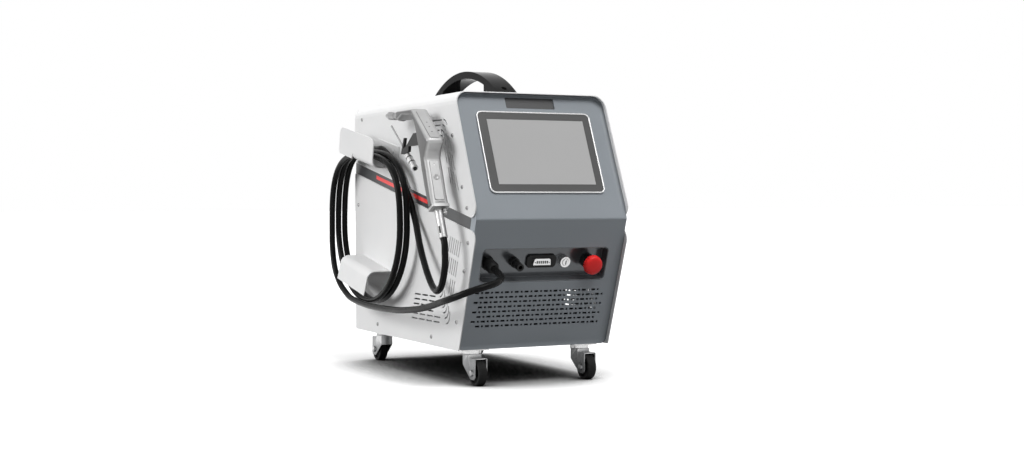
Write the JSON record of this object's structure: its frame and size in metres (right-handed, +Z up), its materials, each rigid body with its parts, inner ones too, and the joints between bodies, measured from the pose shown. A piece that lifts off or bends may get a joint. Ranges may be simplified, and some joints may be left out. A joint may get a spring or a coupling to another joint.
{
  "type": "laser welding machine",
  "caption": "Portable air-cooled handheld laser welder: sheet-metal case on castors with a sloping screen front, connector bay, arched handle, hose hooks and a hung welding gun.",
  "frame": {"origin": "centre of the footprint on the floor under the castors, without the hose", "axes": "+Z up, -Y toward the screen front, +X to the right of someone facing the screen"},
  "size_m": [0.395, 0.7415, 0.633],
  "materials": {
    "white_sheet": "fine textured powder coat",
    "dark_sheet": "satin dark grey paint",
    "panel_paint": "satin blue-grey paint",
    "rear_sheet": "satin grey paint",
    "base_steel": "matt grey paint",
    "bright_steel": "brushed",
    "castor_zinc": "zinc plated",
    "castor_rubber": "moulded",
    "red_film": "satin film",
    "screen_bezel": "satin",
    "screen_light": "smooth display",
    "black_plastic": "moulded",
    "stem_steel": "turned",
    "red_plastic": "satin",
    "handle_black": "fine grain",
    "hose_rubber": "smooth jacket",
    "gun_aluminium": "bead blasted",
    "grey_plastic": "moulded",
    "inlet_brass": "plated",
    "inner_aluminium": "cast"
  },
  "bodies": {
    "root": {"base_plate": "base_steel", "chassis": "dark_sheet", "upper_cover": "white_sheet", "lower_side_left": "white_sheet", "lower_side_right": "white_sheet", "front_frame": "dark_sheet", "front_panel": "panel_paint", "rear_panel": "rear_sheet", "cover_screws": "bright_steel", "red_stripes": "red_film", "badge_plate": "dark_sheet", "screen_frame": "bright_steel", "screen_glass": "screen_bezel", "display_panel": "screen_light", "connector_bay": "dark_sheet", "hose_gland": "black_plastic", "ground_socket": "black_plastic", "signal_socket": "black_plastic", "signal_shell": "bright_steel", "key_switch": "bright_steel", "stop_collar": "black_plastic", "castor_plates": "bright_steel", "carry_handle": "handle_black", "handle_screws": "bright_steel", "hose_hook_upper": "white_sheet", "hose_hook_lower": "white_sheet", "gun_holder": "white_sheet", "hose_front_run": "hose_rubber", "hose_coil": "hose_rubber", "hose_gun_run": "hose_rubber", "fan_frames": "black_plastic", "breaker": "grey_plastic", "rear_inlets": "inlet_brass", "laser_source": "inner_aluminium", "power_supply": "inner_aluminium"},
    "key": {"key_barrel": "bright_steel"},
    "stop_plunger": {"stop_stem": "stem_steel"},
    "stop_button": {"stop_cap": "red_plastic"},
    "castor_front_left": {"castor_fork_front_left": "castor_zinc"},
    "castor_front_right": {"castor_fork_front_right": "castor_zinc"},
    "castor_rear_left": {"castor_fork_rear_left": "castor_zinc"},
    "castor_rear_right": {"castor_fork_rear_right": "castor_zinc"},
    "wheel_front_left": {"castor_wheel_front_left": "castor_rubber"},
    "wheel_front_right": {"castor_wheel_front_right": "castor_rubber"},
    "wheel_rear_left": {"castor_wheel_rear_left": "castor_rubber"},
    "wheel_rear_right": {"castor_wheel_rear_right": "castor_rubber"},
    "gun": {"gun_body": "gun_aluminium", "gun_head_cover": "gun_aluminium", "gun_nozzle": "gun_aluminium", "gun_wire_bracket": "black_plastic", "gun_wire_tube": "gun_aluminium", "gun_wire_connector": "gun_aluminium", "gun_trigger_mount": "black_plastic", "gun_end_plate": "gun_aluminium", "gun_strain_relief": "bright_steel"},
    "gun_button": {"gun_button": "gun_aluminium"},
    "trigger": {"gun_trigger": "black_plastic"},
    "fan_left": {"fan_rotor_left": "black_plastic"},
    "fan_right": {"fan_rotor_right": "black_plastic"},
    "toggle": {"breaker_toggle": "black_plastic"}
  },
  "joints": [
    {"name": "castor_swivel_front_left", "type": "hinge", "parent": "root", "child": "castor_front_left", "pos_m": [-0.091, -0.21, 0.07], "axis": [0, 0, 1], "continuous": true},
    {"name": "wheel_spin_front_left", "type": "hinge", "parent": "castor_front_left", "child": "wheel_front_left", "pos_m": [-0.091, -0.24, 0.025], "axis": [1, 0, 0], "continuous": true},
    {"name": "castor_swivel_rear_left", "type": "hinge", "parent": "root", "child": "castor_rear_left", "pos_m": [-0.091, 0.255, 0.07], "axis": [0, 0, 1], "continuous": true},
    {"name": "wheel_spin_rear_left", "type": "hinge", "parent": "castor_rear_left", "child": "wheel_rear_left", "pos_m": [-0.091, 0.285, 0.025], "axis": [1, 0, 0], "continuous": true},
    {"name": "castor_swivel_front_right", "type": "hinge", "parent": "root", "child": "castor_front_right", "pos_m": [0.149, -0.21, 0.07], "axis": [0, 0, 1], "continuous": true},
    {"name": "wheel_spin_front_right", "type": "hinge", "parent": "castor_front_right", "child": "wheel_front_right", "pos_m": [0.149, -0.24, 0.025], "axis": [1, 0, 0], "continuous": true},
    {"name": "castor_swivel_rear_right", "type": "hinge", "parent": "root", "child": "castor_rear_right", "pos_m": [0.149, 0.255, 0.07], "axis": [0, 0, 1], "continuous": true},
    {"name": "wheel_spin_rear_right", "type": "hinge", "parent": "castor_rear_right", "child": "wheel_rear_right", "pos_m": [0.149, 0.285, 0.025], "axis": [1, 0, 0], "continuous": true},
    {"name": "key_turn", "type": "hinge", "parent": "root", "child": "key", "pos_m": [0.07702, -0.28579, 0.23729], "axis": [0, -0.941, -0.3385], "range_deg": [-90, 0]},
    {"name": "stop_press", "type": "slide", "parent": "root", "child": "stop_plunger", "axis": [0, 0.941, 0.3385], "range_m": [0, 0.005], "stiffness_N_per_m": 300, "springref_m": -0.001},
    {"name": "stop_twist", "type": "hinge", "parent": "stop_plunger", "child": "stop_button", "pos_m": [0.12899, -0.30273, 0.2312], "axis": [0, 0.941, 0.3385], "range_deg": [0, 45], "stiffness_Nm_per_rad": 0.05},
    {"name": "gun_lift", "type": "slide", "parent": "root", "child": "gun", "axis": [0, 0, 1], "range_m": [0, 0.045]},
    {"name": "gun_button_press", "type": "slide", "parent": "gun", "child": "gun_button", "axis": [0, 0.9341, -0.3571], "range_m": [0, 0.0012], "stiffness_N_per_m": 500, "springref_m": -0.0005},
    {"name": "trigger_pull", "type": "hinge", "parent": "gun", "child": "trigger", "pos_m": [-0.1755, -0.1997, 0.40852], "axis": [-1, 0, 0], "range_deg": [0, 6], "stiffness_Nm_per_rad": 0.6, "springref_deg": -2.86},
    {"name": "fan_spin_left", "type": "hinge", "parent": "root", "child": "fan_left", "pos_m": [-0.041, 0.3, 0.45], "axis": [0, 1, 0], "continuous": true},
    {"name": "fan_spin_right", "type": "hinge", "parent": "root", "child": "fan_right", "pos_m": [0.099, 0.3, 0.45], "axis": [0, 1, 0], "continuous": true},
    {"name": "breaker_switch", "type": "hinge", "parent": "root", "child": "toggle", "pos_m": [-0.051, 0.32, 0.16], "axis": [1, 0, 0], "range_deg": [0, 40]}
  ]
}
